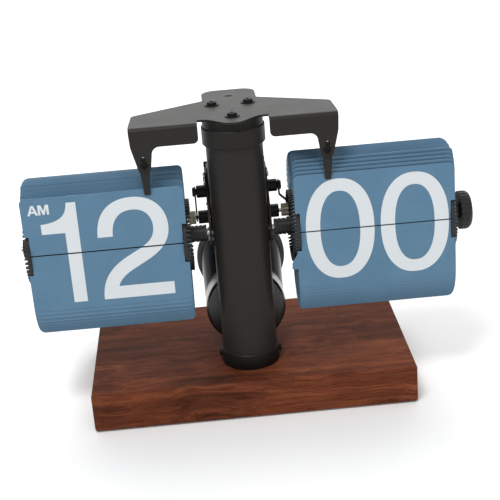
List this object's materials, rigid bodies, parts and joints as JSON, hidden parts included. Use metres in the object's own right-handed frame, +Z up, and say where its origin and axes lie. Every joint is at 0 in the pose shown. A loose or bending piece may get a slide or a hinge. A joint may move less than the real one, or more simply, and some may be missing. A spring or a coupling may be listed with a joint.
{
  "type": "flip clock",
  "caption": "Desk flip clock: hour and minute leaf drums either side of a round black column on a dark wooden block, with a motor housing low behind the column.",
  "frame": {"origin": "centre of the underside of the felt pad, at the middle of the wooden block", "axes": "+X to the right of a reader facing the clock, along the drums; +Y away from the reader; +Z up, along the column"},
  "size_m": [0.3272, 0.141, 0.2195],
  "materials": {
    "walnut": "oiled",
    "felt": "matt",
    "steel": "satin",
    "black_paint": "satin powder coat",
    "black_plastic": "matt",
    "black_gloss": "polished",
    "leaf_blue": "satin",
    "nylon": "natural",
    "brass": "turned",
    "cell_jacket": "printed film",
    "numeral_white": "printed"
  },
  "bodies": {
    "stand": {"base_block": "walnut", "base_felt": "felt", "foot_nut": "steel", "battery_door": "black_plastic", "battery_spring": "steel", "battery_cell": "cell_jacket", "battery_contact": "black_plastic", "foot_collar": "black_paint", "foot_screws": "black_paint", "column_tube": "black_paint", "column_cap": "black_paint", "crossarm_plate": "black_paint", "crossarm_screws": "black_paint", "hour_finger": "black_paint", "minute_finger": "black_paint", "finger_screws": "black_paint", "hanger_bracket": "black_paint", "frame_plate_right": "black_paint", "frame_plate_left": "black_paint", "frame_spacers": "steel", "frame_screws": "steel", "gearbox_cover": "black_plastic", "cross_bar": "black_paint", "bar_collars": "black_paint", "hour_shaft_arm": "black_paint", "minute_shaft_arm": "black_paint", "bearing_tube_right": "black_plastic", "bearing_tube_left": "black_plastic", "motor_body": "steel", "motor_case": "black_gloss", "movement_shroud": "black_gloss", "rear_cover": "black_gloss", "cover_screws": "steel", "case_saddle": "black_plastic", "saddle_screws": "steel", "main_axle": "steel", "minute_leaves": "leaf_blue", "hour_leaves": "leaf_blue"},
    "minute_drum": {"minute_wheel_inner": "black_plastic", "minute_wheel_outer": "black_plastic", "minute_drum_tube": "black_plastic", "time_knob": "black_plastic"},
    "hour_drum": {"hour_wheel_inner": "black_plastic", "hour_wheel_outer": "black_plastic", "hour_drum_tube": "black_plastic", "hour_end_cap": "black_plastic"},
    "minute_drive": {"minute_drive_shaft": "steel", "minute_drive_pinion": "nylon", "minute_drive_gear": "brass", "worm_wheel": "nylon"},
    "hour_drive": {"hour_drive_shaft": "steel", "hour_drive_pinion": "nylon", "hour_drive_gear": "brass"},
    "lay_train": {"lay_shaft": "steel", "lay_wheel": "nylon", "lay_pinion": "brass"},
    "motor_rotor": {"worm_shaft": "steel"},
    "minute_flap": {"minute_front_leaf": "leaf_blue"},
    "hour_flap": {"hour_front_leaf": "leaf_blue"}
  },
  "joints": [
    {"name": "minute_drum_spin", "type": "hinge", "parent": "stand", "child": "minute_drum", "pos_m": [0.095, -0.0215, 0.1276], "axis": [1, 0, 0], "continuous": true},
    {"name": "hour_drum_spin", "type": "hinge", "parent": "stand", "child": "hour_drum", "pos_m": [-0.095, -0.0215, 0.1276], "axis": [1, 0, 0], "continuous": true},
    {"name": "minute_drive_spin", "type": "hinge", "parent": "stand", "child": "minute_drive", "pos_m": [0.02, -0.00154, 0.13295], "axis": [1, 0, 0], "continuous": true},
    {"name": "hour_drive_spin", "type": "hinge", "parent": "stand", "child": "hour_drive", "pos_m": [-0.02, -0.00154, 0.13295], "axis": [1, 0, 0], "continuous": true},
    {"name": "lay_train_spin", "type": "hinge", "parent": "stand", "child": "lay_train", "pos_m": [0, 0.01246, 0.13795], "axis": [1, 0, 0], "continuous": true},
    {"name": "motor_spin", "type": "hinge", "parent": "stand", "child": "motor_rotor", "pos_m": [0, 0.00688, 0.1], "axis": [0, 0, 1], "continuous": true},
    {"name": "minute_flap_fall", "type": "hinge", "parent": "stand", "child": "minute_flap", "pos_m": [0.095, -0.04541, 0.1316], "axis": [1, 0, 0], "range_deg": [0, 160], "deforming": ["minute_finger"]},
    {"name": "hour_flap_fall", "type": "hinge", "parent": "stand", "child": "hour_flap", "pos_m": [-0.095, -0.04536, 0.13191], "axis": [1, 0, 0], "range_deg": [0, 163], "deforming": ["hour_finger"]}
  ],
  "couplings": [
    {"joint": "hour_drum_spin", "follows": "minute_drum_spin", "ratio": 0.041667},
    {"joint": "minute_drive_spin", "follows": "minute_drum_spin", "ratio": 6},
    {"joint": "lay_train_spin", "follows": "minute_drum_spin", "ratio": -1.2},
    {"joint": "hour_drive_spin", "follows": "minute_drum_spin", "ratio": 0.25},
    {"joint": "motor_spin", "follows": "minute_drum_spin", "ratio": 54}
  ]
}
